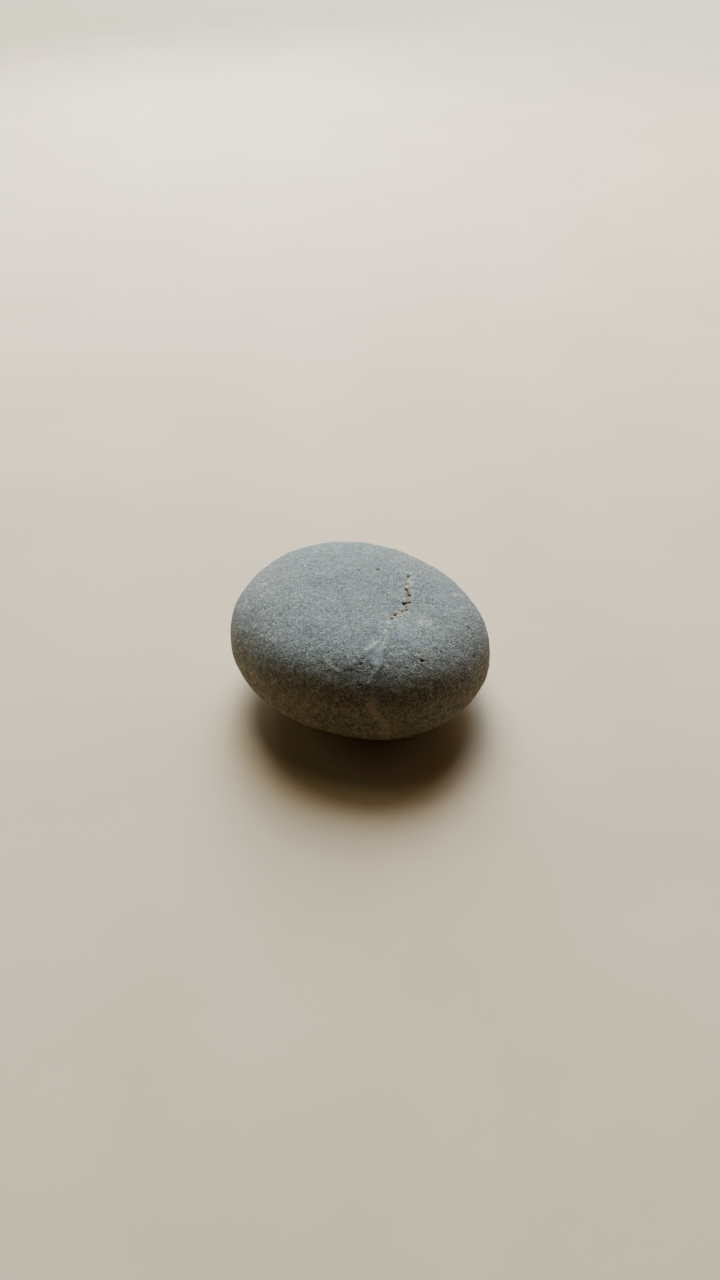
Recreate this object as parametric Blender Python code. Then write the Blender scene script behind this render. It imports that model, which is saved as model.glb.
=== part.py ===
"""River pebble: one water-worn stone with a flattened crown and a pitted quartz vein.

Metres, +Z up. The long axis lies along X, and the origin is the middle of the
footprint, level with the worn face that the stone rests on.
"""

import bmesh
import bpy
import numpy as np
from mathutils import Vector

MM = 0.001

# Driving dimensions. The girdle is the level where the stone is widest. The belly drops
# a little further than the girdle stands high, and that much is worn off flat.
LENGTH = 62.2 * MM
WIDTH = 57.2 * MM
CROWN_RISE = 15.2 * MM
BELLY_DROP = 15.75 * MM
GIRDLE_HEIGHT = 15.3 * MM

# Fullness of each section: 2 is an ellipse, and more is squarer.
PLAN_FULLNESS = 2.1
CROWN_FULLNESS = 3.15
BELLY_FULLNESS = 2.07
GIRDLE_BLEND = 3.0

# How the stone leaves a regular shape: its +X end is narrower, and its crown leans.
END_TAPER = -0.05
LEAN_X = -0.4 * MM
LEAN_Y = -2.1 * MM

# Broad swells and hollows: a point over the stone, its reach, and its height.
SWELLS = (
    ((-8.5, 3.3, 30.4), 10.5, 0.45),
    ((13.0, 2.4, 29.7), 8.5, -0.75),
    ((10.4, -22.0, 28.0), 3.5, -0.3),
    ((16.0, 22.3, 22.5), 9.0, -0.4),
    ((-29.0, -6.5, 24.2), 9.0, -0.38),
    ((-18.0, -24.2, 13.4), 7.0, -0.25),
    ((28.5, 11.0, 14.0), 7.0, 0.3),
    ((21.0, -17.5, 8.8), 8.0, 0.3),
    ((-14.0, 23.0, 9.0), 11.0, 0.35),
    ((5.0, 28.0, 10.0), 9.0, -0.35),
)

# The vein runs over the crown, across the shoulder and down the front.
# It is a furrow along its pitted stretch and a low ridge after that.
VEIN = (
    (2.7, 18.4, 27.6),
    (5.4, 12.5, 28.9),
    (6.9, 9.6, 29.2),
    (8.8, 7.4, 29.2),
    (10.0, 4.2, 29.3),
    (10.9, 1.4, 29.4),
    (10.2, -1.6, 29.8),
    (10.7, -4.8, 30.2),
    (11.7, -8.4, 30.4),
    (12.3, -12.0, 30.3),
    (13.3, -15.8, 29.8),
    (14.8, -18.5, 28.6),
    (15.9, -20.9, 27.0),
    (16.3, -22.9, 24.5),
    (16.7, -23.7, 21.5),
    (18.6, -22.8, 18.0),
    (20.4, -21.5, 15.0),
)
FURROW_POINTS = 8
FURROW_HALF_WIDTH = 0.9 * MM
FURROW_DEPTH = 0.2 * MM
RIDGE_HALF_WIDTH = 1.6 * MM
RIDGE_HEIGHT = 0.25 * MM

# Pits: a point, the radius of the mouth, and the depth.
PITS = (
    ((5.4, 12.5, 28.9), 0.75, 0.6),
    ((6.9, 9.5, 29.2), 0.6, 0.45),
    ((7.8, 8.0, 29.2), 0.85, 0.9),
    ((8.6, 7.4, 29.2), 0.7, 0.9),
    ((9.4, 6.9, 29.2), 0.6, 0.7),
    ((9.8, 4.0, 29.3), 0.65, 0.7),
    ((10.4, 4.9, 29.2), 0.6, 0.6),
    ((11.0, 1.6, 29.3), 0.5, 0.5),
    ((9.7, 0.8, 29.5), 0.4, 0.35),
    ((10.1, -1.2, 29.8), 0.55, 0.55),
    ((10.4, -3.4, 30.1), 0.55, 0.5),
    ((20.5, -9.1, 28.8), 0.8, 0.4),
    ((23.8, -4.7, 27.8), 0.7, 0.35),
    ((22.6, -10.0, 27.8), 0.5, 0.5),
    ((12.0, -19.2, 29.1), 0.7, 0.5),
    ((-1.6, 10.2, 29.6), 0.5, 0.35),
)

# Mesh density: even all over, then finer near the vein, and finest near the pits.
SPHERE_SUBDIVISIONS = 5
VEIN_REFINE_REACH = 2.4 * MM
FURROW_REFINE_REACH = 1.5 * MM
PIT_REFINE_MARGIN = 0.2 * MM

STONE_COLOUR = (0.19, 0.2, 0.19, 1.0)
STONE_ROUGHNESS = 0.82
SMOOTH_ANGLE = np.radians(50.0)


def clear_scene():
    """Remove every object that the scene starts with."""
    for obj in list(bpy.data.objects):
        bpy.data.objects.remove(obj)


def section_at(heights):
    """Vertical reach and fullness at unit heights, blended from belly to crown."""
    crown = 0.5 + 0.5 * np.tanh(GIRDLE_BLEND * heights)
    reach = BELLY_DROP + (CROWN_RISE - BELLY_DROP) * crown
    fullness = BELLY_FULLNESS + (CROWN_FULLNESS - BELLY_FULLNESS) * crown
    return reach, fullness


def stone_surface(directions):
    """Points of the smooth stone, one for each unit direction.

    A superellipsoid with its own fullness in plan, crown and belly, tapered along X.
    It leans by a shear along Z that fades out from the girdle to the underside.
    """
    x, y, z = directions.T
    reach, fullness = section_at(z)
    plan = (np.abs(x) ** PLAN_FULLNESS + np.abs(y) ** PLAN_FULLNESS) ** (1 / PLAN_FULLNESS)
    scale = (plan ** fullness + np.abs(z) ** fullness) ** (-1 / fullness)
    x, y, z = scale * x, scale * y, scale * z
    lean = (LEAN_X * x + LEAN_Y * y) * (1 - np.minimum(z, 0.0) ** 2)
    return np.column_stack((
        LENGTH / 2 * x,
        WIDTH / 2 * (1 + END_TAPER * x) * y,
        GIRDLE_HEIGHT + reach * z + lean,
    ))


def directions_to(points):
    """Unit directions whose surface points lie beside the given points."""
    x = points[:, 0] / (LENGTH / 2)
    y = points[:, 1] / (WIDTH / 2 * (1 + END_TAPER * x))
    z = points[:, 2] - GIRDLE_HEIGHT - LEAN_X * x - LEAN_Y * y
    z = z / np.where(z > 0, CROWN_RISE, BELLY_DROP)
    directions = np.column_stack((x, y, z))
    return directions / np.linalg.norm(directions, axis=1, keepdims=True)


def land(points_mm):
    """Points given in millimetres, moved onto the smooth stone."""
    return stone_surface(directions_to(np.array(points_mm) * MM))


def path_distance(points, path):
    """Shortest distance from each point to a path of straight runs."""
    nearest = np.full(len(points), np.inf)
    for start, end in zip(path[:-1], path[1:]):
        run = end - start
        share = np.clip((points - start) @ run / (run @ run), 0.0, 1.0)
        gap = np.linalg.norm(points - start - share[:, None] * run, axis=1)
        nearest = np.minimum(nearest, gap)
    return nearest


def bowl(distance, radius):
    """A smooth round bowl: 1 at its middle, falling to 0 at the radius."""
    return np.clip(1 - (distance / radius) ** 2, 0.0, 1.0) ** 2


def relief(points):
    """Height of the relief over the smooth stone: swells, vein and pits."""
    height = np.zeros(len(points))
    for place, reach, amount in SWELLS:
        gap = np.linalg.norm(points - land([place]), axis=1)
        height += amount * MM * np.exp(-((gap / (reach * MM)) ** 2))
    furrow = path_distance(points, land(VEIN[:FURROW_POINTS]))
    ridge = path_distance(points, land(VEIN[FURROW_POINTS - 1:]))
    height -= FURROW_DEPTH * bowl(furrow, FURROW_HALF_WIDTH)
    height += RIDGE_HEIGHT * bowl(ridge, RIDGE_HALF_WIDTH)
    carved = np.zeros(len(points))
    for place, radius, depth in PITS:
        gap = np.linalg.norm(points - land([place]), axis=1)
        carved = np.maximum(carved, depth * MM * bowl(gap, radius * MM))
    return height - carved


def pit_margin(points):
    """Distance from each point to the rim of the nearest pit, below 0 inside it."""
    margin = np.full(len(points), np.inf)
    for place, radius, _depth in PITS:
        gap = np.linalg.norm(points - land([place]), axis=1)
        margin = np.minimum(margin, gap - radius * MM)
    return margin


def refine(bm, distance, reach):
    """Halve the edges of the unit sphere whose place on the stone is within reach."""
    edges = list(bm.edges)
    middles = np.array([(edge.verts[0].co + edge.verts[1].co).normalized() for edge in edges])
    close = distance(stone_surface(middles)) < reach
    picked = [edge for edge, wanted in zip(edges, close) if wanted]
    bmesh.ops.subdivide_edges(bm, edges=picked, cuts=1, use_grid_fill=True)
    bmesh.ops.triangulate(bm, faces=bm.faces[:])
    for vert in bm.verts:
        vert.co.normalize()


def place_vertices(bm, points):
    """Move every vertex of the mesh to its point and work out the normals again."""
    for vert, point in zip(bm.verts, points):
        vert.co = point
    bm.normal_update()


def shape_stone(bm):
    """Give the unit sphere the stone's surface, then raise the relief along its normals."""
    directions = np.array([vert.co for vert in bm.verts])
    smooth = stone_surface(directions)
    place_vertices(bm, smooth)
    normals = np.array([vert.normal for vert in bm.verts])
    place_vertices(bm, smooth + normals * relief(smooth)[:, None])


def wear_rest_face(bm):
    """Cut the underside off level at z = 0 and close it with one flat face."""
    cut = bmesh.ops.bisect_plane(
        bm,
        geom=bm.verts[:] + bm.edges[:] + bm.faces[:],
        dist=0.02 * MM,
        plane_co=(0.0, 0.0, 0.0),
        plane_no=(0.0, 0.0, -1.0),
        clear_outer=True,
    )
    rim = [item for item in cut["geom_cut"] if isinstance(item, bmesh.types.BMEdge)]
    for vert in {vert for edge in rim for vert in edge.verts}:
        vert.co.z = 0.0
    bmesh.ops.edgeloop_fill(bm, edges=rim)
    bmesh.ops.recalc_face_normals(bm, faces=bm.faces[:])


def centre_in_plan(bm):
    """Slide the stone so that the middle of its bounding box stands over the origin."""
    points = np.array([vert.co for vert in bm.verts])
    middle = (points.min(axis=0) + points.max(axis=0)) / 2
    bmesh.ops.translate(bm, verts=bm.verts[:], vec=Vector((-middle[0], -middle[1], 0.0)))


def stone_material():
    """Dry grey stone: dull, with no metal in it."""
    material = bpy.data.materials.new("stone")
    material.use_nodes = True
    shader = material.node_tree.nodes["Principled BSDF"]
    shader.inputs["Base Color"].default_value = STONE_COLOUR
    shader.inputs["Roughness"].default_value = STONE_ROUGHNESS
    shader.inputs["Metallic"].default_value = 0.0
    return material


def build_pebble():
    """Model the stone and return its object."""
    bm = bmesh.new()
    bmesh.ops.create_icosphere(bm, subdivisions=SPHERE_SUBDIVISIONS, radius=1.0)
    vein = land(VEIN)
    furrow = land(VEIN[:FURROW_POINTS])
    refine(bm, lambda points: path_distance(points, vein), VEIN_REFINE_REACH)
    refine(bm, lambda points: path_distance(points, furrow), FURROW_REFINE_REACH)
    refine(bm, pit_margin, PIT_REFINE_MARGIN)
    shape_stone(bm)
    wear_rest_face(bm)
    centre_in_plan(bm)

    mesh = bpy.data.meshes.new("pebble")
    bm.to_mesh(mesh)
    bm.free()
    mesh.materials.append(stone_material())
    mesh.shade_smooth()
    mesh.set_sharp_from_angle(angle=SMOOTH_ANGLE)
    pebble = bpy.data.objects.new("pebble", mesh)
    bpy.context.scene.collection.objects.link(pebble)
    return pebble


clear_scene()
build_pebble()
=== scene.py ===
"""River pebble on a pale studio floor.

One water-worn stone with a flattened crown, a belly worn flat where it rests, and a pitted
pale vein that runs over the crown and down the front. The stone is a closed surface worked
out on six grids that wrap round it. Lengths in the classes below are in millimetres, and
they are turned into metres when a mesh is made. A Spot is a place in the camera's frame, in
pixels across and down from its top left corner. Marks of the stone that the camera sees are
given as spots, and their places on the stone are worked out from them.
"""

import logging
import math
from dataclasses import dataclass, field
from enum import Enum

import bpy
import numpy as np
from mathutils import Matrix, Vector


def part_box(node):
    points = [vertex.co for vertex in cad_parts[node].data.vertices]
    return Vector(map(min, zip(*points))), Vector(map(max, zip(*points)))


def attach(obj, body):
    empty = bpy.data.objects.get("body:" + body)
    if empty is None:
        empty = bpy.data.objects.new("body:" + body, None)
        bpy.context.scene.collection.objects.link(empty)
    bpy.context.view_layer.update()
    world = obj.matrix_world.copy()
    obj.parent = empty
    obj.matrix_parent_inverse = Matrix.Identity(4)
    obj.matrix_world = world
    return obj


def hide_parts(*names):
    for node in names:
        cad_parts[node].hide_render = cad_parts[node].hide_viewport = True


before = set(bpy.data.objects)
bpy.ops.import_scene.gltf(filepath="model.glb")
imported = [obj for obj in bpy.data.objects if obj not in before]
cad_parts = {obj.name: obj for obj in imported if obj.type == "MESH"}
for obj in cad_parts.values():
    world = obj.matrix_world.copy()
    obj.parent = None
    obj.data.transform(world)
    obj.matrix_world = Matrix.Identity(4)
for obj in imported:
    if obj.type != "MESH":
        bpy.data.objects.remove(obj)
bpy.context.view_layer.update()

MM = 0.001
LOG = logging.getLogger("pebble")

Triple = tuple[float, float, float]
Spot = tuple[float, float]


def unit(rows: np.ndarray) -> np.ndarray:
    """Rows scaled to length one."""
    return rows / np.linalg.norm(rows, axis=1, keepdims=True)


def ramp(values: np.ndarray, low: float, high: float) -> np.ndarray:
    """Smooth rise from 0 at low to 1 at high: 3t^2 - 2t^3 of the clipped share t.

    Args:
        values: Where the rise is read.
        low: The value where the rise starts.
        high: The value where it ends. It may be under low, which gives a fall.

    Returns:
        Numbers from 0 to 1, as many as the values.
    """
    share = np.clip((values - low) / (high - low), 0.0, 1.0)
    return share * share * (3.0 - 2.0 * share)


def dome(gap: np.ndarray, radius: float) -> np.ndarray:
    """Smooth round dome of the gap g: (1 - (g / radius)^2)^2 inside the radius, 0 outside."""
    return np.clip(1.0 - (gap / radius) ** 2, 0.0, 1.0) ** 2


@dataclass(frozen=True)
class Wander:
    """A smooth field that wanders between about -1 and 1.

    Every corner of a cubic lattice has its own random slope. The field at a point is the
    blend of the eight nearest slopes, each read from its own corner.
    """

    seed: int
    period: int = 32

    def at(self, points: np.ndarray, cell: float) -> np.ndarray:
        """The field at some points.

        Args:
            points: One row for each point.
            cell: Side of a lattice cell, in the unit of the points.

        Returns:
            One number for each point.
        """
        source = np.random.default_rng(self.seed)
        slopes = unit(source.normal(size=(self.period**3, 3)))
        place = points / cell
        base = np.floor(place).astype(np.int64)
        part = place - base
        ease = part**3 * (part * (part * 6.0 - 15.0) + 10.0)
        total = np.zeros(len(points))
        for corner in np.ndindex(2, 2, 2):
            shift = np.array(corner)
            key = (base + shift) % self.period
            slope = slopes[(key[:, 0] * self.period + key[:, 1]) * self.period + key[:, 2]]
            weight = np.prod(np.where(shift, ease, 1.0 - ease), axis=1)
            total += weight * np.sum((part - shift) * slope, axis=1)
        return 1.6 * total


@dataclass(frozen=True)
class View:
    """Where the camera stands, and which way it looks through each spot of its frame.

    Lengths are in millimetres and angles in degrees.
    """

    azimuth: float = 31.98
    elevation: float = 42.0
    target: Triple = (1.17, -2.33, 17.9)
    distance: float = 295.5
    focal_pixels: float = 1244.0
    frame_size: tuple[int, int] = (720, 1280)

    def turn(self) -> float:
        """The azimuth in radians."""
        return math.radians(self.azimuth)

    def back(self) -> np.ndarray:
        """Direction from the target to the camera.

        Returns:
            A row of length one.
        """
        lift = math.radians(self.elevation)
        away = np.array((math.sin(self.turn()), -math.cos(self.turn()), 0.0))
        return math.cos(lift) * away + np.array((0.0, 0.0, math.sin(lift)))

    def eye(self) -> np.ndarray:
        """The place of the camera."""
        return np.array(self.target) + self.distance * self.back()

    def sight(self, spots: tuple[Spot, ...]) -> np.ndarray:
        """Directions from the camera through some spots of its frame.

        Args:
            spots: The spots.

        Returns:
            Unit rows, one for each spot.
        """
        right = np.array((math.cos(self.turn()), math.sin(self.turn()), 0.0))
        up = np.cross(self.back(), right)
        offset = (np.array(spots, dtype=float) - np.array(self.frame_size) / 2) / self.focal_pixels
        return unit(offset[:, :1] * right - offset[:, 1:] * up - self.back())


VIEW = View()


@dataclass(frozen=True)
class Swell:
    """A broad swell of the stone, or a hollow where its rise is below 0."""

    place: Triple
    reach: float
    rise: float


@dataclass(frozen=True)
class Pit:
    """A jagged pit: half its size across and along the view, and its depth."""

    half_width: float
    half_length: float
    depth: float


class Mark(Enum):
    """The marks that the stone's surface carries for its finish."""

    QUARTZ = "quartz"
    RUST = "rust"
    # Where painted shade darkens the pits, the pocket and the cracks.
    HOLLOW = "hollow"
    # Polished facets, whose pale bluish colour is a painted sheen.
    POLISH_AND_SHEEN = "polish_and_sheen"


@dataclass(frozen=True)
class Stain:
    """A ragged patch of one mark: where its middle is seen, its radius and how strong it is."""

    mark: Mark
    spot: Spot
    radius: float
    amount: float


@dataclass
class StoneForm:
    """The smooth stone: a superellipsoid with its own fullness in plan, crown and belly.

    It is narrower at its +X end and leans by a shear along Z, which fades out from the
    girdle to the underside. The girdle is the level where the stone is widest.
    """

    length: float
    width: float
    height: float
    shift: tuple[float, float] = (-0.05, 0.03)
    plan_fullness: float = 2.1
    crown_fullness: float = 3.15
    belly_fullness: float = 2.07
    girdle_blend: float = 3.0
    crown_share: float = 0.4881
    belly_share: float = 0.5057
    girdle_share: float = 0.4913
    sight_step: float = 0.1
    sight_rounds: int = 6
    end_taper: float = -0.05
    lean_x: float = -0.4
    lean_y: float = -2.1
    crown_rise: float = field(init=False)
    belly_drop: float = field(init=False)
    girdle: float = field(init=False)

    def __post_init__(self) -> None:
        """Share the height out between crown and belly."""
        self.crown_rise = self.crown_share * self.height
        self.belly_drop = self.belly_share * self.height
        self.girdle = self.girdle_share * self.height

    def surface(self, rays: np.ndarray) -> np.ndarray:
        """Points of the smooth stone along rays from its middle.

        In words: a ray (x, y, z) is scaled until plan(x, y)^f + |z|^f = 1, where plan is the
        superellipse |x|^p + |y|^p to the power 1/p, and f goes from belly to crown fullness.
        It is then stretched to the half length, half width and rise, tapered and leaned.

        Args:
            rays: Unit rows.

        Returns:
            Points in millimetres, one for each ray.
        """
        x, y, z = rays.T
        crown = 0.5 + 0.5 * np.tanh(self.girdle_blend * z)
        rise = self.belly_drop + (self.crown_rise - self.belly_drop) * crown
        fullness = self.belly_fullness + (self.crown_fullness - self.belly_fullness) * crown
        power = self.plan_fullness
        plan = (np.abs(x) ** power + np.abs(y) ** power) ** (1.0 / power)
        scale = (plan**fullness + np.abs(z) ** fullness) ** (-1.0 / fullness)
        x, y, z = scale * x, scale * y, scale * z
        lean = (self.lean_x * x + self.lean_y * y) * (1.0 - np.minimum(z, 0.0) ** 2)
        return np.column_stack((
            self.length / 2 * x + self.shift[0],
            self.width / 2 * (1.0 + self.end_taper * x) * y + self.shift[1],
            self.girdle + rise * z + lean,
        ))

    def rays_to(self, points: np.ndarray) -> np.ndarray:
        """Rays whose surface points lie beside the given points.

        Args:
            points: Points in millimetres.

        Returns:
            Unit rows, one for each point.
        """
        x = (points[:, 0] - self.shift[0]) / (self.length / 2)
        y = (points[:, 1] - self.shift[1]) / (self.width / 2 * (1.0 + self.end_taper * x))
        z = points[:, 2] - self.girdle - self.lean_x * x - self.lean_y * y
        z = z / np.where(z > 0, self.crown_rise, self.belly_drop)
        return unit(np.column_stack((x, y, z)))

    def land(self, places: np.ndarray) -> np.ndarray:
        """The given places, moved onto the smooth stone."""
        return self.surface(self.rays_to(places))

    def seen(self, spots: tuple[Spot, ...]) -> np.ndarray:
        """Where the camera sees the smooth stone through some spots of its frame.

        In words: a line of sight is read step by step. A point of it is in the stone where
        it is nearer to the middle than the surface beside it. The place is interpolated
        between the last step outside and the first one inside. It is then moved across the
        line of sight a few times, until the surface point beside it lies on the line.

        Args:
            spots: Spots that lie on the stone.

        Returns:
            Points in millimetres, one for each spot.
        """
        eye, sight = VIEW.eye(), VIEW.sight(spots)
        middle = np.array((*self.shift, self.girdle))
        depths = VIEW.distance + np.arange(-self.length, self.length, self.sight_step)
        trial = eye + depths[:, None] * sight[:, None, :]
        surface = self.land(trial.reshape(-1, 3)).reshape(trial.shape)
        clear = np.linalg.norm(trial - middle, axis=2) - np.linalg.norm(surface - middle, axis=2)
        row, first = np.arange(len(sight)), np.argmax(clear < 0.0, axis=1)
        if np.any(first == 0):
            raise ValueError("a spot lies beside the stone")
        outside, inside = clear[row, first - 1], clear[row, first]
        past = self.sight_step * inside / (inside - outside)
        place = trial[row, first] - past[:, None] * sight
        for _ in range(self.sight_rounds):
            offset = self.land(place) - eye
            place = place - offset + np.sum(offset * sight, axis=1, keepdims=True) * sight
        return self.land(place)


@dataclass
class Trail:
    """A line of straight runs over the stone, with a left and a right side."""

    form: StoneForm
    spots: tuple[Spot, ...]
    softness: float = 0.3

    def measure(self, points: np.ndarray) -> tuple[np.ndarray, np.ndarray, np.ndarray]:
        """Where some points lie beside the trail.

        In words: each run is the nearest where its gap to the point is the smallest. The
        side is the sign of the gap along (run x outward), so it is above 0 on the right of
        someone who walks the trail on the stone.

        Args:
            points: Points in millimetres.

        Returns:
            The gap to the trail, the length travelled along it, and the side from -1 to 1.
        """
        path = self.form.seen(self.spots)
        middle = np.array([0.0, 0.0, self.form.girdle])
        gap = np.full(len(points), np.inf)
        along = np.zeros(len(points))
        side = np.zeros(len(points))
        travelled = 0.0
        for start, end in zip(path[:-1], path[1:]):
            run = end - start
            length = float(np.linalg.norm(run))
            share = np.clip((points - start) @ run / length**2, 0.0, 1.0)
            offset = points - start - share[:, None] * run
            distance = np.linalg.norm(offset, axis=1)
            outward = (start + end) / 2 - middle
            outward = outward / (self.form.length / 2, self.form.width / 2, self.form.crown_rise)
            right = np.cross(run, outward)
            turn = offset @ (right / np.linalg.norm(right))
            closer = distance < gap
            gap = np.where(closer, distance, gap)
            along = np.where(closer, travelled + share * length, along)
            side = np.where(closer, np.clip(turn / self.softness, -1.0, 1.0), side)
            travelled += length
        return gap, along, side


@dataclass
class StoneRelief:
    """Everything that stands over the smooth stone: swells, weathering, vein and pits."""

    form: StoneForm
    swells: tuple[Swell, ...] = (
        Swell((-8.5, 3.3, 30.4), 10.5, 0.45),
        Swell((13.0, 2.4, 29.7), 8.5, -0.75),
        Swell((10.4, -22.0, 28.0), 3.5, -0.3),
        Swell((16.0, 22.3, 22.5), 9.0, -0.4),
        Swell((-29.0, -6.5, 24.2), 9.0, -0.38),
        Swell((-18.0, -24.2, 13.4), 7.0, -0.25),
        Swell((28.5, 11.0, 14.0), 7.0, 0.3),
        Swell((21.0, -17.5, 8.8), 8.0, 0.3),
        Swell((-14.0, 23.0, 9.0), 11.0, 0.35),
        Swell((5.0, 28.0, 10.0), 9.0, -0.35),
    )
    weathering: tuple[tuple[float, float], ...] = (
        (7.5, 0.14),
        (3.6, 0.09),
        (1.9, 0.06),
        (1.0, 0.045),
    )
    seam: tuple[Spot, ...] = (
        (411, 566), (408.5, 576), (407.5, 583), (407.5, 589), (410, 593.5), (409, 600),
        (406, 604), (405, 608.5), (400, 610), (396, 612.5), (392, 618), (389, 622),
        (386.5, 627), (386, 632), (382, 637), (378, 641.5), (373, 645), (369.5, 650),
    )
    band_right: tuple[Spot, ...] = (
        (390.5, 635), (389.5, 643), (385, 648), (383, 656), (382, 664), (379.5, 671),
        (378.5, 680), (378, 690), (377.5, 702), (379, 709.5), (385, 718), (389, 727),
        (390, 735),
    )
    band_left: tuple[Spot, ...] = (
        (386.5, 633), (381.5, 638), (378, 641.5), (371.5, 646.5), (365, 651), (366.5, 656.5),
        (370, 662), (374.5, 669.5), (369.5, 680), (366, 690), (364, 700), (366, 708),
        (372, 716), (377, 725), (380, 735),
    )
    lobe_edge: tuple[Spot, ...] = (
        (329, 653), (331.5, 659), (334.5, 664), (337.5, 666.5), (343.5, 670), (349, 670.5),
        (353, 668.5), (355.5, 664.5),
    )
    strand: tuple[Spot, ...] = (
        (322, 649.5), (324, 657.5), (328, 663), (336, 669.5), (343, 673), (350, 673.5),
        (355, 671.5),
    )
    stains: tuple[Stain, ...] = (
        Stain(Mark.QUARTZ, (405, 576), 0.74, 0.82),
        Stain(Mark.QUARTZ, (412, 577), 0.94, 0.92),
        Stain(Mark.QUARTZ, (408.5, 585), 1.35, 0.97),
        Stain(Mark.QUARTZ, (408.5, 598), 1.22, 0.87),
        Stain(Mark.QUARTZ, (412.5, 593.5), 0.94, 1.0),
        Stain(Mark.QUARTZ, (412, 602), 0.81, 0.92),
        Stain(Mark.QUARTZ, (402, 605), 1.35, 0.82),
        Stain(Mark.QUARTZ, (408.5, 609), 0.94, 1.0),
        Stain(Mark.QUARTZ, (398, 613), 0.94, 0.82),
        Stain(Mark.QUARTZ, (390, 622), 0.95, 1.0),
        Stain(Mark.QUARTZ, (388.5, 626.5), 0.95, 1.0),
        Stain(Mark.QUARTZ, (387, 631), 0.95, 1.0),
        Stain(Mark.QUARTZ, (260.5, 585), 0.7, 1.0),
        Stain(Mark.QUARTZ, (263.5, 583.5), 0.75, 1.0),
        Stain(Mark.QUARTZ, (266, 582.5), 0.6, 1.0),
        Stain(Mark.QUARTZ, (274, 637), 1.3, 0.7),
        Stain(Mark.QUARTZ, (268, 632.5), 0.9, 0.7),
        Stain(Mark.QUARTZ, (283, 640), 0.9, 0.7),
        Stain(Mark.QUARTZ, (457.5, 594), 1.2, 1.0),
        Stain(Mark.QUARTZ, (462, 594), 1.2, 1.0),
        Stain(Mark.QUARTZ, (409, 573), 1.5, 0.95),
        Stain(Mark.QUARTZ, (410, 581), 1.5, 1.0),
        Stain(Mark.QUARTZ, (409, 590), 1.5, 1.0),
        Stain(Mark.QUARTZ, (406, 599), 1.5, 1.0),
        Stain(Mark.QUARTZ, (401, 609), 1.5, 1.0),
        Stain(Mark.QUARTZ, (395, 617), 1.5, 1.0),
        Stain(Mark.QUARTZ, (391, 626.5), 1.1, 0.95),
        Stain(Mark.QUARTZ, (385, 642), 2.0, 0.4),
        # A polished patch with a painted sheen.
        Stain(Mark.POLISH_AND_SHEEN, (382.5, 644), 2.2, 0.45),
        Stain(Mark.QUARTZ, (346, 627), 0.9, 1.0),
        Stain(Mark.QUARTZ, (425, 620), 2.8, 0.95),
        Stain(Mark.QUARTZ, (330, 554), 2.0, 0.55),
        Stain(Mark.QUARTZ, (455, 594), 1.7, 0.5),
        Stain(Mark.QUARTZ, (276, 635), 2.2, 0.5),
        Stain(Mark.QUARTZ, (413, 726), 1.6, 0.35),
        Stain(Mark.RUST, (246, 612), 1.4, 0.45),
        Stain(Mark.RUST, (266.5, 599.5), 1.6, 0.42),
        Stain(Mark.RUST, (277.5, 636), 2.0, 0.45),
        Stain(Mark.RUST, (395, 551), 2.6, 0.5),
        Stain(Mark.RUST, (413, 560), 2.8, 0.55),
        Stain(Mark.RUST, (430, 573), 2.8, 0.5),
        Stain(Mark.RUST, (395, 615.5), 0.8, 0.7),
        Stain(Mark.RUST, (390.5, 621.5), 1.0, 0.6),
        Stain(Mark.RUST, (388.5, 626), 0.9, 0.35),
        Stain(Mark.RUST, (352, 651.5), 1.4, 0.35),
        Stain(Mark.RUST, (266.5, 614), 1.0, 0.8),
        Stain(Mark.RUST, (258, 610), 1.2, 0.6),
        Stain(Mark.RUST, (332, 677.5), 1.1, 0.5),
        Stain(Mark.RUST, (408, 665.5), 1.6, 0.4),
        Stain(Mark.RUST, (331.5, 660.5), 0.9, 0.45),
        Stain(Mark.RUST, (367, 548), 2.4, 0.3),
        Stain(Mark.RUST, (384, 558), 2.0, 0.35),
        Stain(Mark.RUST, (382, 725), 2.4, 0.3),
        Stain(Mark.RUST, (395, 661), 6.0, 0.34),
        Stain(Mark.RUST, (426.5, 655.5), 5.5, 0.42),
        # Polished patches with a painted sheen.
        Stain(Mark.POLISH_AND_SHEEN, (406.5, 628.5), 5.0, 0.55),
        Stain(Mark.POLISH_AND_SHEEN, (415, 640), 2.5, 0.4),
        Stain(Mark.POLISH_AND_SHEEN, (290, 640), 3.0, 0.35),
    )
    dimples: int = 110
    dimple_radii: tuple[float, float] = (0.5, 1.1)
    dimple_slope: float = 0.13
    belly_pits: int = 90
    belly_levels: tuple[float, float] = (-0.6, 0.75)
    least_pit: Triple = (0.2, 0.2, 0.12)
    largest_pit: Triple = (0.38, 0.32, 0.2)
    shoulder_wear: float = 0.5
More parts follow.
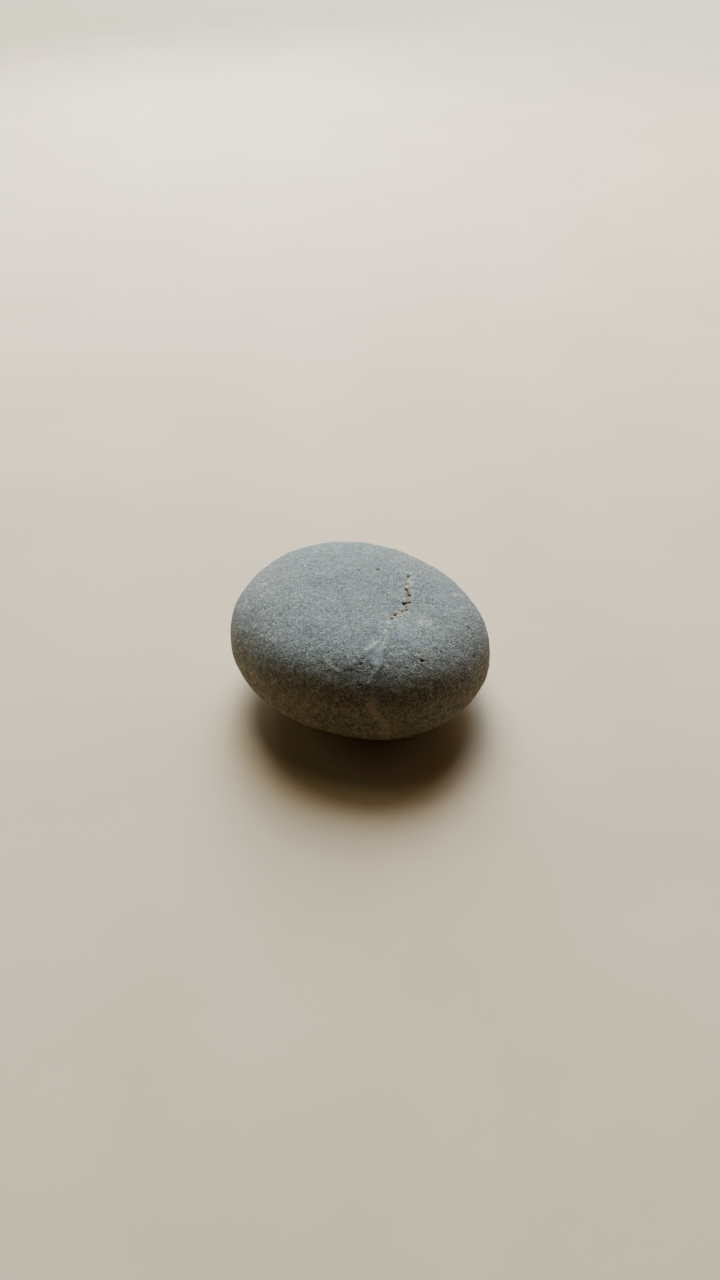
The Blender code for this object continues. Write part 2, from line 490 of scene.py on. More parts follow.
    pits: tuple[tuple[Spot, Pit], ...] = (
        ((408.5, 576), Pit(0.71, 0.4, 0.38)),
        ((407.5, 583), Pit(0.39, 0.27, 0.25)),
        ((405, 584.5), Pit(0.41, 0.25, 0.25)),
        ((407, 588.5), Pit(0.52, 0.49, 0.42)),
        ((408.5, 591), Pit(0.39, 0.38, 0.5)),
        ((409.5, 593.5), Pit(0.59, 0.38, 0.6)),
        ((411, 595), Pit(0.27, 0.25, 0.25)),
        ((404.5, 601.5), Pit(0.5, 0.45, 0.55)),
        ((407, 601), Pit(0.39, 0.34, 0.45)),
        ((410, 600), Pit(0.48, 0.31, 0.45)),
        ((407, 604), Pit(0.32, 0.29, 0.25)),
        ((403, 608.5), Pit(0.48, 0.31, 0.4)),
        ((406.5, 607.5), Pit(0.39, 0.31, 0.4)),
        ((399, 608), Pit(0.27, 0.22, 0.18)),
        ((396, 612.5), Pit(0.46, 0.4, 0.45)),
        ((392.5, 617.5), Pit(0.52, 0.34, 0.42)),
        ((389.5, 619.5), Pit(0.27, 0.27, 0.2)),
        ((378, 569.5), Pit(0.46, 0.45, 0.5)),
        ((358.5, 571), Pit(0.41, 0.4, 0.4)),
        ((309, 567), Pit(0.23, 0.22, 0.2)),
        ((252, 612), Pit(0.34, 0.3, 0.4)),
        ((262, 617), Pit(0.32, 0.28, 0.35)),
        ((256, 607), Pit(0.32, 0.26, 0.35)),
        ((423, 660), Pit(0.3, 0.26, 0.9)),
        ((404.5, 562.5), Pit(0.4, 0.4, 0.35)),
        ((415, 650.5), Pit(0.36, 0.26, 0.35)),
        ((419.5, 652), Pit(0.28, 0.24, 0.3)),
        ((436.5, 648), Pit(0.32, 0.28, 0.35)),
        ((442, 651.5), Pit(0.28, 0.28, 0.3)),
        ((469.5, 628), Pit(0.3, 0.3, 0.35)),
        ((361, 663), Pit(0.33, 0.26, 0.6)),
        ((362.5, 657.5), Pit(0.3, 0.22, 0.35)),
        ((475.5, 656), Pit(0.36, 0.42, 0.3)),
        ((423, 665), Pit(0.22, 0.2, 0.18)),
        ((354, 672), Pit(0.24, 0.2, 0.16)),
        ((259, 609), Pit(0.7, 0.24, 0.22)),
        ((264.5, 606), Pit(0.5, 0.2, 0.18)),
        ((255, 613), Pit(0.55, 0.22, 0.2)),
        ((268, 614), Pit(0.6, 0.22, 0.2)),
        ((337, 679), Pit(0.34, 0.26, 0.1)),
        ((348.5, 682.5), Pit(0.34, 0.26, 0.1)),
        ((407, 641), Pit(0.26, 0.24, 0.25)),
        ((400, 662), Pit(0.3, 0.26, 0.25)),
        ((407, 667), Pit(0.28, 0.26, 0.25)),
        ((412, 675), Pit(0.3, 0.28, 0.25)),
        ((390, 664), Pit(0.3, 0.26, 0.25)),
        ((366.5, 649), Pit(0.36, 0.16, 0.16)),
        ((365, 716), Pit(0.29, 0.25, 0.16)),
    )
    lobe_middle: Spot = (344, 661)
    pocket_middle: Spot = (346, 681)

    def gap_to(self, points: np.ndarray, spot: Spot) -> np.ndarray:
        """Distance of some points from the place that is seen through a spot."""
        return np.linalg.norm(points - self.form.seen((spot,)), axis=1)

    def pit_reach(self, points: np.ndarray, middle: np.ndarray, pit: Pit) -> np.ndarray:
        """How far out from the middle of a pit some points lie, where 1 is its brim.

        In words: the offset from the middle of the pit is read along its two half sizes,
        and its length is shaken by a wandering field.

        Args:
            points: Points in millimetres.
            middle: The middle of the pit.
            pit: The pit.

        Returns:
            0 in the middle of the pit, rising outward.
        """
        offset = points - middle
        across = offset[:, 0] * math.cos(VIEW.turn()) + offset[:, 1] * math.sin(VIEW.turn())
        rest = np.sqrt(np.maximum(np.sum(offset**2, axis=1) - across**2, 0.0))
        reach = np.hypot(across / pit.half_width, rest / pit.half_length)
        near = reach < 2.5
        reach[near] += 0.32 * Wander(41).at(points[near], 0.55)
        return reach

    def read(self, points: np.ndarray) -> tuple[np.ndarray, dict[Mark, np.ndarray]]:
        """Height of the relief, and the marks for the finish.

        Args:
            points: Points of the smooth stone, in millimetres.

        Returns:
            The height at each point in millimetres, and each mark from 0 to 1.
        """
        height = np.zeros(len(points))
        for swell in self.swells:
            gap = np.linalg.norm(points - self.form.land(np.array((swell.place,))), axis=1)
            height += swell.rise * np.exp(-((gap / swell.reach) ** 2))
        for step, (cell, rise) in enumerate(self.weathering):
            height += rise * Wander(11 + step).at(points, cell)

        marks = {mark: np.zeros(len(points)) for mark in Mark}
        height += self.lay_seam(points, marks)
        height += self.lay_band(points, marks)
        height += self.lay_lobe(points, marks)
        height -= self.worn_dimples(points) + self.worn_shoulder(points)
        shake = Wander(53).at(points, 0.9)
        for stain in self.stains:
            gap = self.gap_to(points, stain.spot) + 0.3 * stain.radius * shake
            marks[stain.mark] = np.maximum(marks[stain.mark], stain.amount * dome(gap, stain.radius))
        carved = np.zeros(len(points))
        for middle, pit in (*self.seen_pits(), *self.strewn_pits()):
            reach = self.pit_reach(points, middle, pit)
            share = ramp(reach, 1.08, 0.5)
            rim = ramp(reach, 1.9, 1.0) * min(1.0, 1.4 * pit.depth)
            carved = np.maximum(carved, pit.depth * share)
            marks[Mark.RUST] = np.maximum(marks[Mark.RUST], 0.7 * rim)
            # The hollow mark paints shade into each pit, darker where the pit is deeper.
            marks[Mark.HOLLOW] = np.maximum(marks[Mark.HOLLOW], share * min(1.0, 0.2 + 1.6 * pit.depth))
        return height - carved, marks

    def lay_seam(self, points: np.ndarray, marks: dict[Mark, np.ndarray]) -> np.ndarray:
        """The pitted stretch of the vein: a broken furrow with pale, rusty lips, one of which carries a
        painted highlight.

        Args:
            points: Points of the smooth stone, in millimetres.
            marks: The marks, which this adds to.

        Returns:
            The height that the seam adds, in millimetres.
        """
        gap, along, side = Trail(self.form, self.seam).measure(points)
        shake = Wander(23).at(points, 1.1)
        fine = Wander(24).at(points, 0.6)
        open_part = ramp(along, 3.5, 6.0) * ramp(along, 26.5, 22.0)
        lips = dome(gap + 0.35 * shake, 1.5 - 0.9 * ramp(along, 20.0, 24.0)) * ramp(along, 0.5, 4.5)
        # The lip on the side that faces the lamps gets extra pale colour: a painted highlight over the
        # pale vein.
        lit_lip_highlight = dome(gap + 0.25 * shake, 1.6) * ramp(side, 0.2, -0.8)
        broken = 0.5 + 0.5 * ramp(fine, -0.35, 0.5)
        worn = 1.0 - 0.25 * ramp(along, 22.0, 26.0)
        pale_lips = (0.5 + 0.5 * ramp(along, 21.0, 24.0)) * lips * worn
        marks[Mark.QUARTZ] += np.maximum(pale_lips, 0.6 * lit_lip_highlight * open_part) * broken
        marks[Mark.RUST] += dome(gap + 0.3 * fine, 1.25) * open_part * ramp(shake, -0.6, 0.2)
        furrow = dome(gap + 0.2 * fine, 0.85) * open_part
        ridge = dome(gap, 1.5) * ramp(along, 22.0, 27.0)
        return -0.12 * furrow + 0.2 * ridge + 0.06 * lips

    def lay_band(self, points: np.ndarray, marks: dict[Mark, np.ndarray]) -> np.ndarray:
        """The broad smooth band of the vein, between a soft left and a sharp right edge.

        In words: the band is where a point lies inside both edges, and it stands proud of
        the stone by its own depth behind them.

        Args:
            points: Points of the smooth stone, in millimetres.
            marks: The marks, which this adds to.

        Returns:
            The height that the band adds, in millimetres.
        """
        right_gap, along, right_side = Trail(self.form, self.band_right).measure(points)
        left_gap, down, left_side = Trail(self.form, self.band_left).measure(points)
        shake = Wander(29).at(points, 1.3)
        frayed = ramp(along, 11.0, 16.0)
        inside_right = right_gap * np.sign(right_side) + (0.12 + 0.5 * frayed) * shake
        inside_left = -left_gap * np.sign(left_side) + (0.15 + 0.7 * frayed) * shake
        plateau = ramp(inside_left, -0.3, 0.3)
        plateau = plateau * ramp(inside_right + 0.4 * frayed, -0.25, 0.25 + 0.9 * frayed)
        start = ramp(along, 2.6, 5.0)
        upper = ramp(along, 10.5, 8.0)
        # The band is polished, and its polish mark also paints a sheen on it.
        marks[Mark.POLISH_AND_SHEEN] += 0.85 * plateau * start * upper
        marks[Mark.QUARTZ] += 0.6 * plateau * ramp(along, 6.0, 3.0) * ramp(shake, -0.8, 0.2)
        marks[Mark.QUARTZ] += 0.25 * dome(left_gap + 0.1 * shake, 0.5) * ramp(down, 8.0, 7.0)
        blotch = Wander(37).at(points, 2.4)
        lower = ramp(along, 13.5, 16.5) * ramp(blotch + 0.6 * shake, -0.9, 0.5)
        marks[Mark.POLISH_AND_SHEEN] += 0.8 * plateau * lower
        marks[Mark.QUARTZ] += 0.75 * plateau * lower
        ditch = dome(inside_right + 0.55, 0.7) * ramp(along, 7.5, 10.0)
        return (0.3 * plateau - 0.16 * ditch) * start * ramp(along, 20.0, 15.0)

    def lay_lobe(self, points: np.ndarray, marks: dict[Mark, np.ndarray]) -> np.ndarray:
        """The low lobe left of the band, with a pale strand that curves round its foot.

        Args:
            points: Points of the smooth stone, in millimetres.
            marks: The marks, which this adds to.

        Returns:
            The height that the lobe and the strand add, in millimetres.
        """
        gap, _, side = Trail(self.form, self.lobe_edge).measure(points)
        shake = Wander(31).at(points, 1.4)
        inside = -gap * np.sign(side) + 0.3 * shake
        lobe = ramp(inside, -0.3, 0.4) * ramp(inside, 4.5, 0.8)
        near = dome(self.gap_to(points, self.lobe_middle), 6.5)
        strand_gap, travelled, _ = Trail(self.form, self.strand).measure(points)
        strand = dome(strand_gap + 0.15 * shake, 0.8) * ramp(travelled, 10.5, 6.5)
        crack = dome(gap + 0.15 * shake, 0.5)
        # The top of the lobe is polished and gets a painted sheen.
        marks[Mark.POLISH_AND_SHEEN] += 0.5 * lobe * near
        marks[Mark.QUARTZ] += 0.75 * strand * ramp(travelled, 0.4, 2.5)
        marks[Mark.RUST] += 0.3 * strand * ramp(shake, 0.5, -0.6) + 0.3 * crack * near
        pocket = dome(self.gap_to(points, self.pocket_middle) + 0.2 * shake, 1.4)
        # The pocket and the crack get the hollow mark, which paints shade there.
        marks[Mark.HOLLOW] += 0.5 * pocket + 0.35 * crack * near
        return 0.2 * lobe * near + 0.14 * strand - 0.1 * crack * near - 0.1 * pocket

    def seen_pits(self) -> list[tuple[np.ndarray, Pit]]:
        """The pits that are given as spots, each with its place on the smooth stone."""
        spots, pits = zip(*self.pits)
        return list(zip(self.form.seen(spots), pits))

    def strewn_pits(self) -> list[tuple[np.ndarray, Pit]]:
        """Small shallow pits that are strewn evenly all round the belly and its shoulder.

        Returns:
            Places on the smooth stone, each with a pit of random size and depth.
        """
        source = np.random.default_rng(83)
        turn = source.uniform(0.0, 2.0 * math.pi, self.belly_pits)
        level = source.uniform(*self.belly_levels, self.belly_pits)
        flat = np.sqrt(1.0 - level**2)
        places = self.form.surface(np.column_stack((flat * np.cos(turn), flat * np.sin(turn), level)))
        sizes = source.uniform(self.least_pit, self.largest_pit, (self.belly_pits, 3))
        return [(place, Pit(*size)) for place, size in zip(places, sizes)]

    def worn_shoulder(self, points: np.ndarray) -> np.ndarray:
        """Depth worn off the edge of the crown, on the side that faces the camera.

        In words: a dome of the rise of the ray over its own middle, faded in from the ends.

        Args:
            points: Points of the smooth stone, in millimetres.

        Returns:
            The depth at each point in millimetres.
        """
        rays = self.form.rays_to(points)
        plan = unit(rays[:, :2] + 1e-9)
        facing = plan[:, 0] * math.sin(VIEW.turn()) - plan[:, 1] * math.cos(VIEW.turn())
        return self.shoulder_wear * dome(rays[:, 2] - 0.6, 0.38) * ramp(facing, 0.0, 0.55)

    def worn_dimples(self, points: np.ndarray) -> np.ndarray:
        """Depth of small worn dimples that are strewn over the whole stone.

        In words: a dimple is a dome turned inside out, and where two meet the deeper wins.

        Args:
            points: Points of the smooth stone, in millimetres.

        Returns:
            The depth at each point in millimetres.
        """
        source = np.random.default_rng(67)
        middles = self.form.surface(unit(source.normal(size=(self.dimples, 3))))
        radii = source.uniform(*self.dimple_radii, self.dimples)
        depth = np.zeros(len(points))
        for middle, radius in zip(middles, radii):
            gap = np.linalg.norm(points - middle, axis=1)
            depth = np.maximum(depth, self.dimple_slope * radius * dome(gap, radius))
        return depth


class Wall(Enum):
    """The six grids that wrap the stone: each axis that it crosses, and its sign."""

    CROWN = (2, 1)
    BELLY = (2, -1)
    RIGHT = (0, 1)
    LEFT = (0, -1)
    BACK = (1, 1)
    FRONT = (1, -1)


@dataclass(frozen=True)
class Focus:
    """A stretch of an axis where the grid lines stand closer: its middle, half size, gain."""

    middle: float
    half: float
    gain: float


@dataclass
class StoneWrap:
    """Six grids on a box round the stone, whose points become rays from its middle."""

    form: StoneForm
    lines_x: int = 196
    lines_y: int = 184
    lines_z: int = 34
    roof: float = 0.6
    keel: float = 0.3
    focus_x: Focus = Focus(8.2, 5.6, 1.0)
    focus_y: Focus = Focus(3.5, 9.5, 0.9)

    def spread(self, axis: int, level: float, count: int, focus: Focus | None) -> np.ndarray:
        """Places of grid lines across the box, so that they lie evenly over the stone.

        In words: the stone's outline along the axis is travelled from end to end, a step
        counting for more inside the focus, and the travel is shared out equally.

        Args:
            axis: 0 for lines across X, 1 for lines across Y.
            level: The height on the box where they are spread.
            count: How many cells there are between the lines.
            focus: Where the lines stand closer, or None.

        Returns:
            count + 1 places from -1 to 1.
        """
        trial = np.linspace(-1.0, 1.0, 4001)
        rays = np.zeros((trial.size, 3))
        rays[:, axis] = trial
        rays[:, 2] = level
        run = self.form.surface(unit(rays))
        step = np.linalg.norm(np.diff(run, axis=0), axis=1)
        if focus is not None:
            middle = (run[1:, axis] + run[:-1, axis]) / 2
            step = step * (1.0 + focus.gain * np.exp(-(((middle - focus.middle) / focus.half) ** 4)))
        travelled = np.concatenate(([0.0], np.cumsum(step)))
        places = np.interp(np.linspace(0.0, travelled[-1], count + 1), travelled, trial)
        places[0], places[-1] = -1.0, 1.0
        return places

    def levels(self) -> np.ndarray:
        """Heights of the lines on the side walls, from roof to keel, even over the stone.

        Returns:
            One more height than there are cells between the lines.
        """
        trial = np.linspace(self.roof, -self.keel, 2001)
        rays = np.column_stack((np.ones(trial.size), np.zeros(trial.size), trial))
        run = self.form.surface(unit(rays))
        travelled = np.concatenate(([0.0], np.cumsum(np.linalg.norm(np.diff(run, axis=0), axis=1))))
        return np.interp(np.linspace(0.0, travelled[-1], self.lines_z + 1), travelled, trial)

    def wall_points(self, wall: Wall) -> np.ndarray:
        """Points of one wall of the box.

        In words: the crown and belly walls are spanned by the lines across X and Y. On a
        side wall, the place along it goes straight from its crown line to its belly line
        while the level goes from roof to keel.

        Args:
            wall: Which wall.

        Returns:
            An array of rows by columns by three.
        """
        upper = (
            self.spread(0, self.roof, self.lines_x, self.focus_x),
            self.spread(1, self.roof, self.lines_y, self.focus_y),
        )
        lower = (
            self.spread(0, -self.keel, self.lines_x, None),
            self.spread(1, -self.keel, self.lines_y, None),
        )
        axis, sign = wall.value
        if axis == 2:
            across, level = (upper, self.roof) if sign > 0 else (lower, -self.keel)
            first, second = np.meshgrid(across[0], across[1], indexing="ij")
            return np.stack((first, second, np.full_like(first, level)), axis=-1)
        other = 1 - axis
        level = self.levels()
        share = ((self.roof - level) / (self.roof + self.keel))[None, :]
        place = (1.0 - share) * upper[other][:, None] + share * lower[other][:, None]
        points = np.empty(place.shape + (3,))
        points[..., axis] = float(sign)
        points[..., other] = place
        points[..., 2] = np.broadcast_to(level[None, :], place.shape)
        return points

    @staticmethod
    def tile(wall: Wall) -> tuple[float, float, float, float]:
        """The tile that a wall has in the unit square of the map.

        Args:
            wall: Which wall.

        Returns:
            Left, bottom, width and height.
        """
        tiles = {
            Wall.CROWN: (0.01, 0.40, 0.585, 0.59),
            Wall.BELLY: (0.605, 0.605, 0.385, 0.385),
            Wall.FRONT: (0.01, 0.285, 0.585, 0.105),
            Wall.BACK: (0.01, 0.17, 0.585, 0.105),
            Wall.RIGHT: (0.605, 0.49, 0.385, 0.105),
            Wall.LEFT: (0.605, 0.375, 0.385, 0.105),
        }
        return tiles[wall]

    def build(self) -> tuple[np.ndarray, np.ndarray, np.ndarray]:
        """Rays of the whole wrap, with the walls joined along their shared edges.

        Returns:
            Unit rays, quads with their corners in order seen from outside, and the map
            place of each corner of each quad.
        """
        points, quads, places = [], [], []
        start = 0
        for wall in Wall:
            grid = self.wall_points(wall)
            rows, columns = grid.shape[:2]
            index = start + np.arange(rows * columns).reshape(rows, columns)
            corner = (slice(None, -1), slice(None, -1)), (slice(1, None), slice(None, -1))
            corner += (slice(1, None), slice(1, None)), (slice(None, -1), slice(1, None))
            left, bottom, wide, tall = self.tile(wall)
            u = left + wide * np.linspace(0.0, 1.0, rows)[:, None] * np.ones((1, columns))
            v = bottom + tall * np.linspace(0.0, 1.0, columns)[None, :] * np.ones((rows, 1))
            face = np.stack([index[part].ravel() for part in corner], axis=1)
            chart = np.stack((u, v), axis=-1)
            mapped = np.stack([chart[part].reshape(-1, 2) for part in corner], axis=1)
            flat = grid.reshape(-1, 3)
            edge_one = flat[face[:, 1] - start] - flat[face[:, 0] - start]
            edge_two = flat[face[:, 3] - start] - flat[face[:, 0] - start]
            if np.sum(np.cross(edge_one, edge_two) * flat[face[:, 0] - start]) < 0:
                face, mapped = face[:, ::-1], mapped[:, ::-1]
            points.append(flat)
            quads.append(face)
            places.append(mapped)
            start += rows * columns
        every = np.concatenate(points)
        _, first, joined = np.unique(np.round(every, 9), axis=0, return_index=True, return_inverse=True)
        return unit(every[first]), joined.ravel()[np.concatenate(quads)], np.concatenate(places)


def outward(points: np.ndarray, quads: np.ndarray) -> np.ndarray:
    """Unit normals of a mesh at its points.

    In words: the cross product of the two diagonals of each quad is added to its corners.

    Args:
        points: The mesh points.
        quads: Four point numbers for each face.

    Returns:
        One unit row for each point.
    """
    one, two, three, four = (points[quads[:, corner]] for corner in range(4))
    across = np.cross(three - one, four - two)
    total = np.zeros_like(points)
    for corner in range(4):
        for axis in range(3):
            total[:, axis] += np.bincount(quads[:, corner], across[:, axis], len(points))
    return unit(total)


@dataclass
class Sockets:
    """A short way to lay nodes in a tree and to join them."""

    tree: bpy.types.NodeTree

    def node(self, kind: str, **settings: object) -> bpy.types.Node:
        """Add a node.

        Args:
            kind: Blender's name for the node.
            settings: Properties to set on it.

        Returns:
            The node.
        """
        made = self.tree.nodes.new(kind)
        for name, value in settings.items():
            setattr(made, name, value)
        return made

    def join(self, source: bpy.types.NodeSocket, target: bpy.types.NodeSocket) -> None:
        """Link one socket to another."""
        self.tree.links.new(source, target)

    def feed(self, target: bpy.types.NodeSocket, value: object) -> None:
        """Give a socket its value.

        Args:
            target: The socket.
            value: A socket to link to it, or a plain value to set on it.
        """
        if isinstance(value, bpy.types.NodeSocket):
            self.join(value, target)
        else:
            target.default_value = value

    def math(self, operation: str, *values: object) -> bpy.types.NodeSocket:
        """Add a Math node.

        Args:
            operation: What it does.
            values: Sockets or numbers, in the order of its inputs.

        Returns:
            The result.
        """
        made = self.node("ShaderNodeMath", operation=operation)
        for slot, value in zip(made.inputs, values):
            self.feed(slot, value)
        return made.outputs[0]

    def times(self, first: object, second: object) -> bpy.types.NodeSocket:
        """One value times another."""
        return self.math("MULTIPLY", first, second)

    def rise(self, value: object, low: float, high: float, to: float = 1.0) -> bpy.types.NodeSocket:
        """A smooth rise from 0.

        Args:
            value: What is read.
            low: The value where the rise starts.
            high: The value where it ends, which may be under low.
            to: What it rises to.

        Returns:
            The result.
        """
        made = self.node("ShaderNodeMapRange", interpolation_type="SMOOTHSTEP")
        self.feed(made.inputs["Value"], value)
        made.inputs["From Min"].default_value = low
        made.inputs["From Max"].default_value = high
        made.inputs["To Max"].default_value = to
        return made.outputs["Result"]

    def blend(self, share: object, under: object, over: object, way: str = "MIX") -> bpy.types.NodeSocket:
        """Lay one colour over another.

        Args:
            share: How much of the upper colour shows, from 0 to 1.
            under: The lower colour.
            over: The upper colour.
            way: Blender's name for the way they mix.

        Returns:
            The mixed colour.
        """
        made = self.node("ShaderNodeMix", data_type="RGBA", blend_type=way)
        self.feed(made.inputs[0], share)
        self.feed(made.inputs[6], under)
        self.feed(made.inputs[7], over)
        return made.outputs[2]

    def noise(
        self, place: object, size: object, detail: float = 2.0, rough: float = 0.5
    ) -> bpy.types.NodeSocket:
        """Add a Noise texture.

        Args:
            place: Where it is read.
            size: How wide its features are, about.
            detail: How many finer layers it has.
            rough: How strong the finer layers are.

        Returns:
            The noise, from 0 to 1.
        """
        made = self.node("ShaderNodeTexNoise", noise_dimensions="3D")
        self.feed(made.inputs["Vector"], place)
        scale = self.math("DIVIDE", 1.0, size) if isinstance(size, bpy.types.NodeSocket) else 1.0 / size
        self.feed(made.inputs["Scale"], scale)
        made.inputs["Detail"].default_value = detail
        made.inputs["Roughness"].default_value = rough
        return made.outputs["Fac"]


def new_group(
    name: str, inputs: dict[str, tuple[str, object]], outputs: dict[str, str]
) -> bpy.types.NodeTree:
    """An empty shader group with named sockets.

    Args:
        name: Name of the group.
        inputs: Socket type and default value for each input, None for no default.
        outputs: Socket type for each output.

    Returns:
        The group, which has its input and output nodes already.
    """
    group = bpy.data.node_groups.new(name, "ShaderNodeTree")
    for label, (kind, value) in inputs.items():
        socket = group.interface.new_socket(name=label, in_out="INPUT", socket_type=kind)
        if value is not None:
            socket.default_value = value
    for label, kind in outputs.items():
        group.interface.new_socket(name=label, in_out="OUTPUT", socket_type=kind)
    group.nodes.new("NodeGroupInput")
    group.nodes.new("NodeGroupOutput")
    return group


def grain_group() -> bpy.types.NodeTree:
    """Sand grains packed in a matrix: a random tone for each, and how high it stands.

    Returns:
        The group. Its inputs are the place in millimetres and the size of a grain.
    """
    group = new_group(
        "sand_grains",
        {"Place": ("NodeSocketVector", None), "Size": ("NodeSocketFloat", 0.45)},
        {"Tone": "NodeSocketFloat", "Tint": "NodeSocketFloat", "Height": "NodeSocketFloat"},
    )
    lay = Sockets(group)
    entry, leave = group.nodes["Group Input"], group.nodes["Group Output"]
    bend = lay.node("ShaderNodeTexNoise", noise_dimensions="3D")
    lay.join(entry.outputs["Place"], bend.inputs["Vector"])
    bend.inputs["Scale"].default_value = 1.6
    bend.inputs["Detail"].default_value = 1.0
    shift = lay.node("ShaderNodeVectorMath", operation="MULTIPLY_ADD")
    lay.join(bend.outputs["Color"], shift.inputs[0])
    shift.inputs[1].default_value = (0.3, 0.3, 0.3)
    lay.join(entry.outputs["Place"], shift.inputs[2])
    cells = lay.node("ShaderNodeTexVoronoi", voronoi_dimensions="3D", feature="F1")
    lay.join(shift.outputs[0], cells.inputs["Vector"])
    lay.join(lay.math("DIVIDE", 1.0, entry.outputs["Size"]), cells.inputs["Scale"])
    parts = lay.node("ShaderNodeSeparateColor")
    lay.join(cells.outputs["Color"], parts.inputs[0])
    lay.join(parts.outputs[0], leave.inputs["Tone"])
    lay.join(parts.outputs[1], leave.inputs["Tint"])
    lay.join(lay.rise(cells.outputs["Distance"], 0.75, 0.1), leave.inputs["Height"])
    return group


def fleck_group() -> bpy.types.NodeTree:
    """Flecks strewn over a surface: a few cells hold a ragged spot each.

    Returns:
        The group. Its inputs are the place in millimetres, how far apart the cells are,
        the share of them that holds a fleck, and the size of a fleck in its cell.
    """
    group = new_group(
        "strewn_flecks",
        {
            "Place": ("NodeSocketVector", None),
            "Spacing": ("NodeSocketFloat", 1.0),
            "Share": ("NodeSocketFloat", 0.1),
            "Size": ("NodeSocketFloat", 0.25),
        },
        {"Mask": "NodeSocketFloat"},
    )
    lay = Sockets(group)
    entry, leave = group.nodes["Group Input"], group.nodes["Group Output"]
    cells = lay.node("ShaderNodeTexVoronoi", voronoi_dimensions="3D", feature="F1")
    lay.join(entry.outputs["Place"], cells.inputs["Vector"])
    lay.join(lay.math("DIVIDE", 1.0, entry.outputs["Spacing"]), cells.inputs["Scale"])
    parts = lay.node("ShaderNodeSeparateColor")
    lay.join(cells.outputs["Color"], parts.inputs[0])
    picked = lay.math("LESS_THAN", parts.outputs[0], entry.outputs["Share"])
    own = lay.times(entry.outputs["Size"], lay.math("MULTIPLY_ADD", parts.outputs[1], 0.9, 0.45))
    ragged = lay.math("MULTIPLY_ADD", lay.noise(entry.outputs["Place"], 0.35), 0.3, -0.15)
    gap = lay.math("ADD", cells.outputs["Distance"], ragged)
    inside = lay.math("SUBTRACT", own, gap)
    lay.join(lay.times(picked, lay.rise(inside, -0.03, 0.05)), leave.inputs["Mask"])
    return group


def strand_group() -> bpy.types.NodeTree:
    """Thin winding strands: the lines where a soft noise crosses its middle value.

    Returns:
        The group. Its inputs are the place in millimetres, how wide the loops are, and the
        width of a strand as a share of the noise's range.
    """
    group = new_group(
        "winding_strands",
        {
            "Place": ("NodeSocketVector", None),
            "Loop": ("NodeSocketFloat", 1.6),
            "Width": ("NodeSocketFloat", 0.05),
        },
        {"Mask": "NodeSocketFloat"},
    )
    lay = Sockets(group)
    entry, leave = group.nodes["Group Input"], group.nodes["Group Output"]
    soft = lay.noise(entry.outputs["Place"], entry.outputs["Loop"], 2.0, 0.6)
    off = lay.math("ABSOLUTE", lay.math("SUBTRACT", soft, 0.5))
    share = lay.math("DIVIDE", off, entry.outputs["Width"])
    line = lay.rise(share, 1.0, 0.2)
    breaks = lay.rise(lay.noise(entry.outputs["Place"], 1.1), 0.42, 0.6)
    lay.join(lay.times(line, breaks), leave.inputs["Mask"])
    return group


@dataclass(frozen=True)
class StonePatterns:
    """The patterns that the stone's colour and fine relief are mixed from."""

    tone: bpy.types.NodeSocket
    tint: bpy.types.NodeSocket
    grain: bpy.types.NodeSocket
    pale: bpy.types.NodeSocket
    dark: bpy.types.NodeSocket
    sparks: bpy.types.NodeSocket
    pores: bpy.types.NodeSocket
    strands: bpy.types.NodeSocket
    cloud: bpy.types.NodeSocket
    speck: bpy.types.NodeSocket
    wide: bpy.types.NodeSocket
    patch: bpy.types.NodeSocket
    fine: bpy.types.NodeSocket


